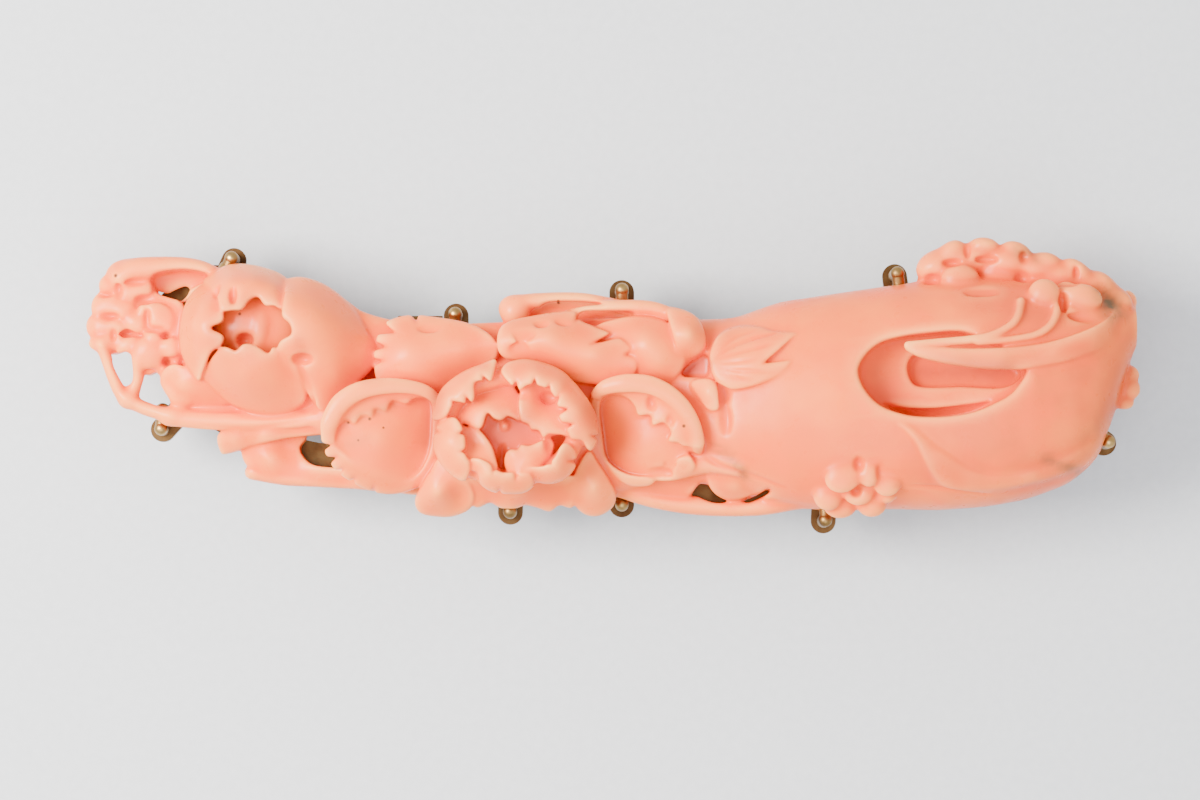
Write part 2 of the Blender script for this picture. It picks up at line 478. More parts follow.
LEAVES = [
    # The base of the left blossoms
    dict(rim=[(-40.1, 9.7, 3.1), (-40, 8.4, 3.2), (-41, 7.5, 3.1), (-41.6, 6.6, 3.1), (-41.9, 5.3, 3.1),
        (-42.1, 4.3, 3.1), (-41.8, 3.4, 3.1), (-41.1, 2.7, 3.2), (-40, 2.5, 3.3), (-39, 2.8, 3.3),
        (-38.5, 2.1, 3.3), (-38.2, 1.3, 3.2), (-37.4, 0.8, 3.2), (-36.6, 1.1, 3.4), (-35.9, 1.6, 3.6),
        (-34.6, 1.6, 4), (-33.9, 3.4, 4.2), (-34, 5.2, 4.2), (-34.6, 6.6, 4), (-35.6, 7, 3.8),
        (-36.6, 7.4, 3.5), (-37.1, 8.4, 3.3), (-37, 9.4, 3.3), (-37.9, 10.1, 3.1), (-39.2, 10.1, 3)],
        inner=[(-39.6, 6.4, 3.8), (-37.6, 4.2, 3.8), (-35.6, 4.6, 4.1)], thick=2.6),
    # A, above the middle peony on the left
    dict(rim=[(-18.2, 4.8, 6.6), (-18.9, 3.2, 6.8), (-19, 1.4, 6.9), (-18.6, 0, 6.8), (-16.8, -0.9, 6.6),
        (-14.4, -1.6, 6), (-12.6, -0.2, 5.8), (-10.6, 1, 6.2), (-9.2, 2, 6.8), (-9.2, 3.2, 7.4),
        (-10.2, 4.2, 7.2), (-11.8, 4.9, 6.8), (-14, 5.3, 6.4), (-16.2, 5.5, 6.2)],
        inner=[(-16.4, 2.6, 8.2), (-13.6, 3.4, 7.9), (-12, 2.6, 7.8), (-13.8, 0.9, 7.3), (-16.6, 0.6, 7.7)],
        notches=[(-17.3, 4, 160, 24), (-18, 2.9, 175, 22), (-18.2, 1.8, 185, 20), (-15.6, 4.9, 105, 24)],
        thick=1.8),
    # B, the cupped one on the left
    dict(rim=[(-22.9, -3.8, 8.4), (-22.4, -2.2, 8.7), (-21.2, -1, 8.9), (-19.8, -0.2, 8.9),
        (-18.2, 0.15, 8.8), (-16.4, 0.05, 8.5), (-14.8, -0.3, 8), (-13.8, -1.2, 7.3), (-13.4, -3.2, 6.4),
        (-13.4, -5.4, 6), (-14.2, -7.2, 6), (-15.6, -8.3, 5.8), (-17.2, -8.8, 5.6), (-19, -8.7, 5.8),
        (-20.6, -8, 6.4), (-21.8, -7.2, 7), (-22.6, -6.2, 7.5), (-23, -5, 8)],
        inner=[(-21.2, -3.2, 8.4), (-19.2, -2, 8.2), (-16.8, -1.6, 7.8), (-18.6, -4.2, 8.5),
        (-15.8, -4.4, 7.2), (-18.6, -6.8, 7.8), (-21, -5.6, 8.4)],
        notches=[(-22.2, -4.9, 190, 22), (-21.9, -5.9, 200, 22), (-21.4, -6.8, 215, 22),
        (-20.5, -7.5, 235, 22), (-19, -8.2, 255, 20)], thick=1.5),
    # C, above the middle peony
    dict(rim=[(-9.1, 2.6, 8.6), (-9, 4.2, 8.4), (-8, 5, 7.8), (-6.2, 5.4, 7.3), (-4.4, 5.7, 7),
        (-2.9, 5.7, 7), (-2.5, 5, 7.4), (-1.4, 4.5, 7.8), (0.2, 3.8, 8.2), (1.4, 3, 8.5), (2, 2, 8.5),
        (2, 1, 8.3), (1.4, 0.3, 8), (0, -0.2, 7.6), (-2.4, 0, 7.4), (-4.6, 0.7, 7.6), (-6.6, 1.6, 7.8),
        (-8.2, 1.8, 8.2)],
        inner=[(-5, 3.6, 9.2), (-1.6, 2.2, 9.2), (-7.6, 3.5, 9.1), (-4.2, 2, 8.8)],
        notches=[(-1.7, 3, 22, 8), (1, 2.2, 8, 22), (-2.9, 4.9, 62, 20)], thick=1.5),
    # D, right of C, and its upper fold
    dict(rim=[(-1.4, 4.3, 7.2), (0.2, 5.1, 7.2), (2.2, 5.4, 7.2), (3.9, 5.1, 7.4), (4.8, 4.4, 7.8),
        (5.6, 3.2, 8.2), (5.9, 1.8, 8), (5.3, 0.6, 7.6), (4.4, -0.2, 7.2), (2.8, 0, 7.4), (1.4, 0.6, 7.4),
        (0, 2.4, 7.4)],
        inner=[(2.6, 3.4, 8.9), (3.8, 1.6, 8.7)], thick=1.4),
    dict(rim=[(4.4, 5.9, 7.4), (5.6, 5.85, 7.6), (6.7, 5.3, 7.9), (7.3, 4.3, 8), (7.5, 3, 8), (7.1, 2.4, 8),
        (6.2, 1.8, 7.6), (5.3, 0.8, 7.2), (4.9, 1.6, 8), (5, 3, 8.8), (4.6, 4.6, 8.6)],
        inner=[(6.1, 3.8, 9.3)], thick=1.3),
    # E, the cupped one on the right
    dict(rim=[(-1.7, -1.2, 7.6), (-1, -0.3, 8.4), (0.4, 0.2, 8.9), (2.2, 0.3, 9.2), (3.8, -0.1, 9.3),
        (5.1, -0.9, 9.3), (6.2, -2.2, 9.2), (6.9, -3.5, 9), (7.3, -4.9, 8.6), (7, -6, 8), (6.3, -7.2, 7.2),
        (5, -7.3, 6.8), (4, -7.7, 6.4), (2.8, -8.2, 6), (1.2, -8.1, 5.9), (-0.2, -7, 6), (-1.1, -5.2, 6),
        (-1.6, -3, 6.4)],
        inner=[(1, -3, 7.6), (3, -1.9, 8.6), (3.4, -3.8, 8.6), (5.4, -4, 9), (2.6, -5.8, 7.8)],
        notches=[(6, -5.4, -38, 20), (4.3, -6.3, -86, 34)], thick=1.5),
    # The sepal between E and F
    dict(rim=[(6.2, -0.1, 7.8), (7, 0.3, 8.4), (8, 0.2, 8.9), (8.5, -0.8, 9.1), (8.5, -2.1, 8.9),
        (7.7, -2.2, 8.7), (6.9, -1.3, 8.2)],
        inner=[(7.6, -0.8, 9.2)], thick=1.4),
    # The lower-left petal under the left peony
    dict(rim=[(-36.2, 0.9, 4.2), (-35.2, 1.6, 4.9), (-33.8, 1.2, 5.4), (-32.2, -0.2, 5.4),
        (-30.6, -1.4, 4.6), (-31.8, -1.75, 3.8), (-33.6, -1.7, 3.6), (-35.2, -1.3, 3.6),
        (-36.1, -0.3, 3.8)],
        inner=[(-34.4, 0, 5.2)], thick=1.8),
    # The pointed stem under it
    dict(rim=[(-31.5, -3.8, 3.9), (-31.5, -5.4, 3), (-30.8, -5.5, 3), (-28.6, -4.9, 3.6), (-26, -4.3, 4.2),
        (-22.6, -3.9, 4.7), (-22.4, -3.2, 4.9), (-25.4, -3.3, 4.6), (-28.4, -3.5, 4.3)],
        inner=[(-30.4, -4.6, 4), (-28, -4.1, 4.5)], thick=1.4),
    # The wide lobe of the lower left rim
    dict(rim=[(-29.8, -5, 2.8), (-29.6, -6.2, 2.6), (-28.6, -7.1, 2.5), (-27, -7.7, 2.5),
        (-24.6, -8.1, 2.6), (-21.6, -8.3, 2.8), (-18.4, -8.5, 3), (-15.4, -8.8, 3.4), (-15.6, -7.6, 4),
        (-18.6, -7, 4), (-21.4, -6.7, 3.8), (-23.8, -6.5, 3.4), (-24.8, -5.8, 2.9), (-25.1, -5, 2.8),
        (-24.6, -4.3, 3.2), (-24.9, -3.7, 3.8), (-27.4, -4, 3.6), (-29, -4.5, 3.2)],
        inner=[(-27.4, -6, 3.5), (-26.4, -4.9, 3), (-20.4, -7.6, 3.9)], thick=2.6),
    # The skirt under the middle peony: its left lobe, its right lobe and the scalloped edge between
    dict(rim=[(-13.7, -6, 7), (-14.5, -7, 6.8), (-15.3, -8.2, 6.2), (-15.8, -9.4, 5.2), (-15.4, -10.3, 4.5),
        (-14.2, -10.6, 4.2), (-12.8, -10.6, 4.2), (-11.4, -10, 4.8), (-11, -8.8, 6), (-11.8, -7.4, 7.2)],
        inner=[(-13.9, -8.8, 7.1), (-12.2, -8.9, 5.8)], thick=1.6),
    dict(rim=[(-1.9, -5.4, 7), (-1.1, -6.4, 6.8), (-0.3, -7.6, 6.4), (0.3, -8.8, 5.6), (0.1, -9.8, 4.7),
        (-0.9, -10.5, 4.2), (-2, -10.5, 4.2), (-2.9, -9.8, 4.8), (-3.3, -8.6, 5.8), (-2.9, -7, 6.8)],
        inner=[(-1.5, -8.4, 7), (-2.6, -8.8, 5.8)], thick=1.6),
    dict(rim=[(-12, -7.6, 6.8), (-11.6, -9.2, 5.2), (-10.8, -9.9, 4.6), (-9.8, -9.5, 4.8), (-9, -9.9, 4.5),
        (-8, -10.1, 4.3), (-7, -9.7, 4.5), (-6, -9.9, 4.3), (-5, -10.2, 4.2), (-4.2, -9.7, 4.6),
        (-3.2, -9.9, 4.8), (-2.6, -8.6, 5.8), (-2.8, -7.4, 6.8), (-7.4, -7.4, 7.6)],
        inner=[(-7.4, -8.8, 6.2)], thick=1.6),
    # The slope under leaf E that runs out into the lower rim
    dict(rim=[(0.5, -7.6, 4.6), (2.4, -7.8, 5), (4.6, -7, 5.6), (6.4, -6.4, 6), (7.6, -6.2, 6.4),
        (7.6, -7.2, 5.8), (6.8, -8.2, 4.9), (6, -9.2, 4.2), (4.6, -9.6, 3.8), (2.4, -9.4, 3.4),
        (0.7, -8.6, 3.6)], thick=2.4),
    # The leaf tip between the two lower holes
    dict(rim=[(7.6, -7.4, 6.4), (8.8, -7.2, 6.9), (10.2, -7.2, 7.1), (11.6, -7.8, 6.8), (12.2, -8.4, 6.2),
        (11.2, -8.9, 5.6), (9.8, -9.35, 5), (8.7, -9.1, 5.2), (7.9, -8.4, 5.8)],
        inner=[(9.8, -8.3, 6.5)], thick=1.5),
]

# The veined leaf that lies on the body; its heights count from the skin
LEAF_F = dict(rim=[(7.8, 2.4, 1), (8.3, 3.6, 0.9), (9.2, 4.3, 0.65), (10.4, 4.6, 0.5), (11.8, 4.45, 0.45),
    (12.9, 4.1, 0.4), (14.2, 4, 0.3), (15.8, 3.75, 0), (14.9, 3, 0.3), (14.3, 1.8, 0.3), (13.6, 0.65, 0.1),
    (12.4, 0.05, 0.35), (11, -0.4, 0.55), (9.6, -0.6, 0.65), (8.6, -0.2, 0.85), (8, 0.6, 1),
    (7.8, 1.6, 1.05)],
    inner=[(10.2, 2, 1.05), (12.6, 3.2, 0.75), (11.8, 0.8, 0.8), (13.4, 3.4, 0.55)],
    notches=[(12, 1.45, 24, 17), (12.7, 4.2, 30, 12)], thick=1.6)

# Rounded lobes: x, y, z, half sizes along x, y, z, turn, lean along x, lean along y
LOBES = [
    # the left blossoms
    (-40.3, 6.5, 3.5, 1.6, 1.3, 0.75, 20, 0.1, -0.1), (-41.3, 4.7, 3.4, 1, 1.1, 0.7, 0, 0.3, 0),
    (-40.6, 3.5, 3.5, 1.5, 0.8, 0.65, 10, 0.1, 0.2), (-38.8, 3.1, 3.7, 1.1, 0.8, 0.6, 20, 0, 0.1),
    (-38.2, 5, 3.9, 1.1, 0.9, 0.6, -20, 0, 0), (-39.3, 5.9, 3.8, 1.1, 0.9, 0.6, 30, 0, 0),
    (-39.9, 4.6, 3.8, 1, 0.7, 0.5, 0, 0, 0), (-37.2, 2.6, 3.9, 1.5, 1.3, 0.85, 30, 0, 0.1),
    (-36.3, 5.3, 4, 1.5, 1.2, 0.65, -30, -0.1, 0), (-35.5, 3, 4.1, 1.1, 0.85, 0.7, 0, 0, 0),
    (-39, 8.8, 3.4, 1.7, 1.3, 0.9, 0, 0, -0.1), (-38.4, 7.5, 3.7, 1.6, 1, 0.7, 20, 0, 0),
    (-40.4, 8, 3.2, 0.9, 0.9, 0.8, 30, 0.2, 0), (-36.9, 3.9, 4.1, 0.6, 0.9, 0.6, 40, 0, 0),
    (-37.4, 6.1, 4.1, 0.6, 0.9, 0.5, -40, 0, 0), (-41.2, 5.9, 3.5, 0.5, 0.7, 0.5, 30, 0, 0),
    # the floors of the hollows along the upper edge
    (-2.6, 5.4, 2.6, 5.4, 1.6, 1.3, 0, 0, 0), (3.4, 5, 3.2, 3.6, 1.4, 1.3, 0, 0, 0),
    # the hollow behind the left blossoms
    (-34.6, 8.3, 2, 3.2, 1.6, 1, 0, 0, 0),
    # between the stems and the left peony
    (-34.6, -0.2, 3.4, 1.8, 1.6, 1.2, -20, 0, 0), (-31.4, -1.9, 2.6, 3.6, 1.4, 1.2, -8, 0, 0),
    (-26.2, -2.6, 3.2, 4.4, 1.4, 1.4, 0, 0, 0), (-22.6, -2.6, 4, 2, 1.6, 1.6, 0, 0, 0),
    # under the flowers
    (-30, 3.6, 4.2, 4.6, 4.6, 2, 0, 0, 0), (-24, 3, 4, 4.6, 4.6, 2.4, -20, 0, 0),
    (-8, -3.4, 7.2, 5.4, 4.8, 1.6, 0, 0, 0), (-19, -3.6, 5, 3.2, 3.4, 1.8, 0, 0, 0),
    (3, -3.6, 5.6, 3.2, 3.2, 1.8, 0, 0, 0), (-15, 2, 5, 3, 2.6, 1.6, 0, 0, 0),
    (-4, 3, 6.2, 4.4, 2, 1.6, 0, 0, 0), (3.4, 2.6, 6, 3, 2.4, 1.6, 0, 0, 0),
    # inside the left peony
    (-28.6, 4.2, 6.2, 3.3, 2.8, 1.2, 0, 0, 0.1), (-28.1, 4.4, 6.9, 0.8, 1.5, 0.8, -8, 0, 0),
    # the stigma of the middle peony
    (-8.5, -3.5, 8.6, 0.4, 0.4, 0.6, 0, 0, 0),
    # the start of the upper rim
    (-7.8, 6, 4.8, 1.3, 1.15, 1.2, -10, 0, 0),
    # the small blossom stub at the right end
    (40.9, 0.5, 5, 1.4, 1, 0.9, 20, -0.2, 0), (41.4, -0.4, 4.9, 0.95, 0.9, 0.8, 0, -0.2, 0),
    (40.6, -1.2, 4.8, 1.3, 0.75, 0.8, -20, -0.2, 0), (41.3, 3.4, 5.4, 0.6, 0.9, 1, 0, -0.3, 0),
]

# The blossoms at the upper right and the plum flower: x, y, lift over the skin, half sizes, turn
BLOSSOM_LOBES = [
    (27.8, 8.3, 0.3, 1.55, 1.25, 0.9, 0), (31, 8.7, 0.5, 1.55, 1.45, 0.9, 10),
    (34.4, 7, 0.3, 1.3, 1.25, 0.9, 0), (37.4, 6.8, 0.3, 1.7, 1.1, 0.85, -10),
    (36.2, 7.3, 0.2, 0.9, 0.8, 0.8, 0), (25.7, 8.9, -0.1, 1.2, 0.8, 0.6, 30),
    (29.4, 9.5, 0.5, 0.9, 0.7, 0.8, 0), (33, 8.9, 0.5, 0.8, 0.9, 0.8, 0),
    (35.4, 8.4, 0.5, 1, 0.7, 0.8, -20), (38.8, 8, 0.4, 0.9, 0.7, 0.8, -40),
    (26.4, 10, 0.3, 0.9, 0.7, 0.8, 30), (31.4, 10.5, 0.4, 0.9, 0.6, 0.8, 0),
]
# Their outer rows, with x, y, z in place of the lift
OUTER_BLOSSOMS = [
    (26.2, 9.5, 5.3, 1.9, 1.3, 1.5, 20), (28.6, 10, 5.4, 2, 1.2, 1.4, 5),
    (31.6, 9.8, 5.4, 1.8, 1.2, 1.4, 0), (34, 9.2, 5.2, 1.7, 1.1, 1.4, -15),
    (36, 8.6, 5.3, 1.8, 1.2, 1.4, -15), (38.4, 7.8, 5.1, 1.8, 1.2, 1.5, -30),
    (40, 6.9, 5, 1.3, 1.1, 1.5, -50), (27.2, 10.7, 5.9, 1, 0.7, 0.9, 30),
    (29.8, 11.1, 5.9, 1.1, 0.6, 0.9, -5), (32.4, 10.7, 5.8, 1.1, 0.65, 0.9, -20),
    (34.8, 9.9, 5.7, 1, 0.6, 0.9, -10), (37.2, 9.2, 5.7, 1.1, 0.65, 0.9, -35),
    (39.4, 8.1, 5.5, 1, 0.6, 0.9, -45), (41, 6.6, 5.4, 0.7, 0.6, 0.9, -60),
]
PLUM_PETALS = [
    (18.4, -7.4, 0, 1.6, 1.35, 0.7, 30), (17.2, -8.9, -0.1, 1.2, 1.3, 0.75, 0),
    (18.2, -9.7, 0.1, 1.35, 1.1, 0.95, 0), (20.7, -9.5, 0.1, 1.25, 1.2, 0.95, 0),
    (21.8, -7.9, -0.1, 1.15, 1.2, 0.6, 30), (20.4, -7.2, -0.1, 0.9, 1.15, 0.65, 0),
    (19.6, -8.6, -0.2, 1.3, 1.2, 0.6, 0), (21.9, -8.9, -0.1, 0.7, 0.7, 0.6, 0),
]

# Round stems and rims: route of x, y, z, radii from first to last, stretch in height
STEMS = [
    dict(points=[(-39.4, 8.6, 3.6), (-38.4, 9.2, 3.7), (-36.4, 9.4, 3.8), (-34.4, 9.4, 3.9),
        (-32.8, 9.1, 4), (-31.2, 8.3, 4.2)], radii=[1, 0.95, 0.85, 0.8, 0.7], flat=1.3),
    dict(points=[(-41, 3.2, 3.6), (-40.6, 2, 3.4), (-40.1, 0.6, 3.2), (-39.4, -0.8, 3), (-38, -1.7, 3),
        (-36.6, -2.2, 3.2), (-35.4, -2.5, 3.4)], radii=[0.5, 0.46, 0.5, 0.55, 0.55, 0.6], flat=1.6),
    dict(points=[(-38.2, 1.8, 3.4), (-38.2, 0.6, 3), (-38.6, -0.6, 2.8), (-39, -1.2, 2.8)],
        radii=[0.6, 0.55, 0.7], flat=1.5),
    dict(points=[(-36.4, 1.6, 3), (-35.4, 0.6, 3), (-34.8, -0.8, 3), (-34.8, -2.4, 3)], radii=[0.6, 0.6],
        flat=1.5),
    dict(points=[(-35.6, -2.6, 3.5), (-32, -2.95, 3.9), (-28, -3, 4.3), (-24.8, -2.9, 4.7),
        (-22, -2.4, 5.2)], radii=[0.72, 0.7, 0.6, 0.5], flat=0.9),
    dict(points=[(-29, -7, 1.6), (-26, -7.5, 1.8), (-22, -7.6, 2), (-18, -8, 2.2), (-15, -8, 2.6)],
        radii=[0.6, 0.6, 0.6], flat=1.6),
    dict(points=[(-8, 5.6, 4.8), (-7.2, 6.5, 4.8), (-5, 6.75, 4.9), (-2.4, 6.75, 5), (0.2, 6.3, 5.2),
        (2, 5.8, 5.4)], radii=[0.7, 0.6, 0.55, 0.5], flat=1.5),
    dict(points=[(-3.4, 5.5, 6), (-1.8, 5.95, 6.2), (0.6, 6.1, 6.3), (3, 6, 6.4), (4.6, 5.5, 6.6)],
        radii=[0.5, 0.55, 0.6, 0.6], flat=1.2),
    dict(points=[(0.4, -8.5, 3.2), (2.8, -9.1, 3.4), (5.6, -9.6, 3.5), (8.8, -9.85, 3.6),
        (12.2, -9.75, 3.9), (15.6, -9, 4.4), (17.4, -8.4, 4.8)], radii=[0.5, 0.7, 0.75, 0.72, 0.8, 1],
        flat=1.3),
    dict(points=[(0.4, -5.8, 6), (4, -7, 6), (7.4, -6.4, 6.6), (10, -6.6, 7.2)], radii=[0.8, 0.8], flat=1),
]

# Rolled rims of leaves, and the wall that carries the middle peony
RIMS = [
    # the wall under the middle peony's petals
    dict(points=[(-9, 0.3, 9.4), (-11.8, -0.8, 9.4), (-13, -2.8, 9.4), (-13, -5.4, 9.4), (-11.4, -6.8, 9.4),
        (-8.4, -7.6, 9.3), (-5, -6.9, 9.4), (-3.3, -5.3, 9.4), (-2.6, -3.2, 9.4), (-3.8, -1.1, 9.4),
        (-6.2, 0.4, 9.4), (-9, 0.3, 9.4)], radii=[0.75, 0.75], flat=1.4),
    # leaf B
    dict(points=[(-22.7, -4.4, 8.2), (-22.5, -3.2, 8.6), (-21.6, -1.7, 8.8), (-20.2, -0.75, 8.9),
        (-18.4, -0.35, 8.8), (-16.5, -0.35, 8.5), (-14.9, -0.7, 8), (-13.9, -1.4, 7.4)],
        radii=[0.4, 0.7, 0.8, 0.75, 0.65, 0.55, 0.45, 0.35], flat=0.6),
    # leaf E
    dict(points=[(-1.3, -1, 8), (-0.5, -0.4, 8.6), (1, -0.1, 9), (2.8, -0.2, 9.2), (4.4, -0.9, 9.25),
        (5.7, -2.1, 9.2), (6.5, -3.5, 9), (6.8, -4.8, 8.7)],
        radii=[0.35, 0.6, 0.75, 0.75, 0.7, 0.65, 0.55, 0.45], flat=0.6),
]

# Dents worn or cut into the skin: x, y, half sizes, depth
DENTS = [
    (-38.9, 4.1, 0.7, 0.3, 0.6), (-37.5, 6.8, 0.8, 0.4, 0.7), (-37.3, 5.2, 0.25, 0.9, 0.5),
    (-36.7, 4.4, 0.8, 0.25, 0.4), (-35.8, 3.9, 0.28, 0.28, 0.8), (-35.8, 1.85, 0.3, 0.3, 0.8),
    (-34.5, 1.9, 0.3, 0.35, 0.8), (-40.3, 5.5, 0.7, 0.22, 0.5), (-40.8, 7.2, 0.7, 0.2, 0.5),
    (-39.6, 7.6, 0.2, 0.6, 0.4), (-40, 3.9, 0.2, 0.5, 0.4), (-38.3, 8.2, 0.8, 0.22, 0.4),
    (-29.3, 3.4, 0.7, 0.6, 1.3), (-24.6, 1.8, 0.8, 0.5, 0.9), (-30.15, 7, 0.3, 0.8, 0.6),
    (-31.5, 7.4, 0.2, 0.6, 0.5), (-14.6, 4.4, 0.8, 0.5, 0.2),
    # leaf C
    (-7, 3.9, 0.9, 0.7, 0.22), (-5.6, 4.7, 0.5, 0.6, 0.22), (-3.9, 4.8, 0.5, 0.4, 0.15),
    (-7.4, 2.5, 0.8, 0.7, 0.22),
    # leaf E
    (3.1, -1.7, 0.35, 0.55, 0.5), (4.6, -3.1, 0.28, 0.45, 0.4), (5.9, -5.5, 0.45, 0.4, 0.5),
    (3.9, -7.2, 1, 0.45, 0.4),
    # the upper right blossoms, and the recess behind the sepal
    (25.6, 8.3, 0.6, 0.45, 0.6), (29.4, 7.2, 1.3, 0.5, 0.3), (35.9, 6.3, 0.35, 0.8, 0.6),
    (37.6, 5.2, 1.4, 0.4, 0.4), (28.4, 10.5, 0.2, 0.5, 0.4), (32.9, 10.1, 0.3, 0.45, 0.5),
    (27.1, 9.6, 0.7, 0.25, 0.6), (29.9, 9.9, 0.9, 0.25, 0.5), (37.1, 8.9, 0.2, 0.5, 0.5),
    (36.2, 7.9, 0.9, 0.25, 0.4), (32.8, 8.3, 0.5, 0.5, 0.5), (8.9, -1, 0.5, 0.9, 0.5),
    (9, -3, 0.5, 1.2, 0.4),
    # left of the band, and the plum flower's middle
    (19.4, -8.7, 0.45, 0.45, 0.6), (19.55, -6.55, 0.35, 0.5, 0.5), (21.2, -7.2, 0.2, 0.5, 0.3),
    # in the middle peony
    (-5, -1.3, 0.7, 0.5, 0.5), (-4.9, -5, 0.5, 0.8, 0.8), (-7, -1, 0.6, 0.4, 0.3),
]

# Holes right through, and the hollows that end in the stone: outline of x, y
HOLES = [
    [(-35.9, 7), (-35.2, 7.7), (-34.3, 8), (-34.1, 7.4), (-34.6, 6.9), (-35.2, 6.8)],
    [(-40.1, 1.9), (-39.3, 2.6), (-38.7, 2.4), (-38.5, 1.2), (-38.6, 0.2), (-39.1, 0.1), (-39.7, 0.8)],
    [(-37.7, 0), (-37.1, 0.6), (-36.5, 0.3), (-35.9, -0.6), (-35.5, -1.4), (-36, -1.7), (-36.9, -1.4),
        (-37.6, -0.7)],
    [(-25, -5.2), (-24.4, -4.4), (-23.4, -4.1), (-22, -4.2), (-21.4, -5.2), (-21.6, -6.6), (-23, -6.7),
        (-24.4, -6.2)],
    [(6.5, -8.2), (7.6, -8.1), (8.4, -8.8), (9.2, -9.1), (9.2, -9.45), (8.2, -9.5), (7.2, -9.1)],
    [(10.4, -9.4), (11.2, -9.2), (11.8, -8.8), (12.5, -8.4), (12.6, -8.7), (11.9, -9.1), (11, -9.5)],
]
POCKETS = [
    dict(rim=[(-36.8, 8.8), (-35, 9.2), (-33.2, 9.1), (-32.2, 8.6), (-33.2, 8.1), (-34.2, 7.6),
        (-35.4, 6.9), (-36.4, 6.9), (-36.9, 7.8)], floor=[(-36, 8, 1.6), (-33, 8.6, 1.6), (-34, 7.4, 1.4)]),
    dict(rim=[(-5.6, 6.2), (-5, 6.55), (-3.4, 6.6), (-1.6, 6.5), (-0.6, 6.3), (-2, 6.2), (-4, 5.9),
        (-5.4, 5.8)], floor=[(-5, 6, 3.4), (-2, 6.4, 3.8), (-3, 5.8, 3.8)]),
    dict(rim=[(-2.6, 5.2), (-2.4, 5.7), (-1, 5.8), (1.4, 5.75), (1.6, 5.45), (0.2, 5.1), (-1.4, 4.7)],
        floor=[(-2, 5.2, 4.6), (1.4, 5.6, 5.2), (0, 4.8, 4.8)]),
    dict(rim=[(5.5, 0.9), (5.9, 1.4), (6.6, 1.9), (7.3, 2.3), (7.8, 2), (7.8, 1.2), (7.6, 0.5), (6.8, 0.45),
        (5.8, 0.5)], floor=[(5.6, 1, 6.2), (7.8, 2, 6.6), (7.6, 0.6, 6.6)]),
    dict(rim=[(-20.6, 0.2), (-19.8, 1), (-19.2, 1.5), (-18.8, 0.8), (-18.5, 0.2), (-19.2, 0)],
        floor=[(-20, 0.6, 2.6), (-18.6, 0.6, 3), (-19.2, 1.4, 3)]),
]

# The ragged hollows inside leaves B and E
CUPS = [
    dict(rim=[(-22, -5), (-21.9, -3.6), (-21.1, -3), (-20.5, -3.3), (-19.85, -2.65), (-19.1, -2.75),
        (-18.8, -2.1), (-18, -2.3), (-17.5, -1.45), (-16.4, -1.7), (-15.75, -1.25), (-14.5, -1.35),
        (-14.35, -3.05), (-14.65, -5.65), (-15.75, -7.4), (-17.5, -8), (-19.2, -7.6), (-20.3, -6.7),
        (-21.1, -5.9)], floor=[(-21.2, -3.2, 7.9), (-19.2, -2, 7.7), (-16.8, -1.6, 7.2), (-18.6, -4.2, 8.2),
        (-15.8, -4.4, 6.8), (-18.6, -6.8, 7.5), (-21, -5.6, 8), (-14.2, -3, 5.9), (-15, -7.6, 5.6)]),
    dict(rim=[(-0.75, -4.2), (-0.95, -1.7), (-0.1, -0.95), (1.15, -1.2), (1.8, -1.9), (2.1, -2.6),
        (3.05, -2.6), (3.25, -3.4), (4.1, -3.2), (4.7, -4), (4.5, -4.65), (5.35, -4.85), (5.8, -5.7),
        (5.15, -6.1), (4.95, -6.75), (3.25, -7.4), (1.15, -7.2), (-0.35, -6.1)], floor=[(1, -3, 6.7),
        (3, -1.9, 7.6), (3.4, -3.8, 7.7), (5.4, -4, 8), (2.6, -5.8, 7), (-1.2, -3, 5.7), (0, -1, 7.3),
        (5.4, -6.2, 7.2), (2.6, -7.8, 5.6)]),
]

# The pit in the body, the pocket sunk into its floor and the groove along its lower edge
PIT = [
    (19.5, 0.7), (20, 2), (21.2, 3.05), (22.8, 3.55), (25, 3.85), (27.6, 4), (29.4, 3.4), (31.4, 2.6),
    (33, 1.6), (32.7, 0.5), (32, -0.6), (31, -1.4), (29.2, -2.1), (26.6, -2.65), (23.8, -2.65),
    (21.6, -2.1), (20.2, -0.9),
]
PIT_FLOOR = [
    (20, 0.6, 8.2), (22, 2.6, 7.6), (22, -1.2, 7.6), (25, 0, 7.5), (28, -1.2, 7.6), (32, 0.4, 8.2),
    (26, 3.6, 7.2), (30, 2, 7),
]
PIT_SLOT = [
    (23.6, 1.5), (23.9, 0.1), (25, -0.35), (28, -0.3), (31.2, -0.4), (32.6, 0.6), (31.6, 1.6), (28, 2.2),
    (24.6, 2.4),
]
PIT_GROOVE = [
    (21.6, -1.7), (23.6, -2), (26, -2), (28.6, -1.7), (30.2, -1.6), (28.6, -2.4), (26, -2.75), (23.4, -2.6),
]
PIT_SLOT_FLOOR = [(24, 1, 6.4), (28, 1, 6.2), (32, 0.6, 6.6), (28, 0, 6.3)]
PIT_GROOVE_FLOOR = [(22, -1.8, 7.2), (26, -2.2, 6.6), (30, -1.7, 7.2)]

# The two stems that cross the pit's upper edge, and how far their middles lie over the skin
PIT_STEM_LIFT = 0.12
PIT_STEMS = [
    ([(23.4, 2.9), (25.4, 3.05), (29.4, 3.45), (31.4, 4.3), (32.2, 5.2), (32.5, 6.4)],
        [0.28, 0.34, 0.34, 0.36]),
    ([(29, 3.1), (31.4, 3.3), (33.6, 3.7), (34.8, 4.5), (35.3, 5.6), (35.1, 6.6)], [0.25, 0.32, 0.36]),
]

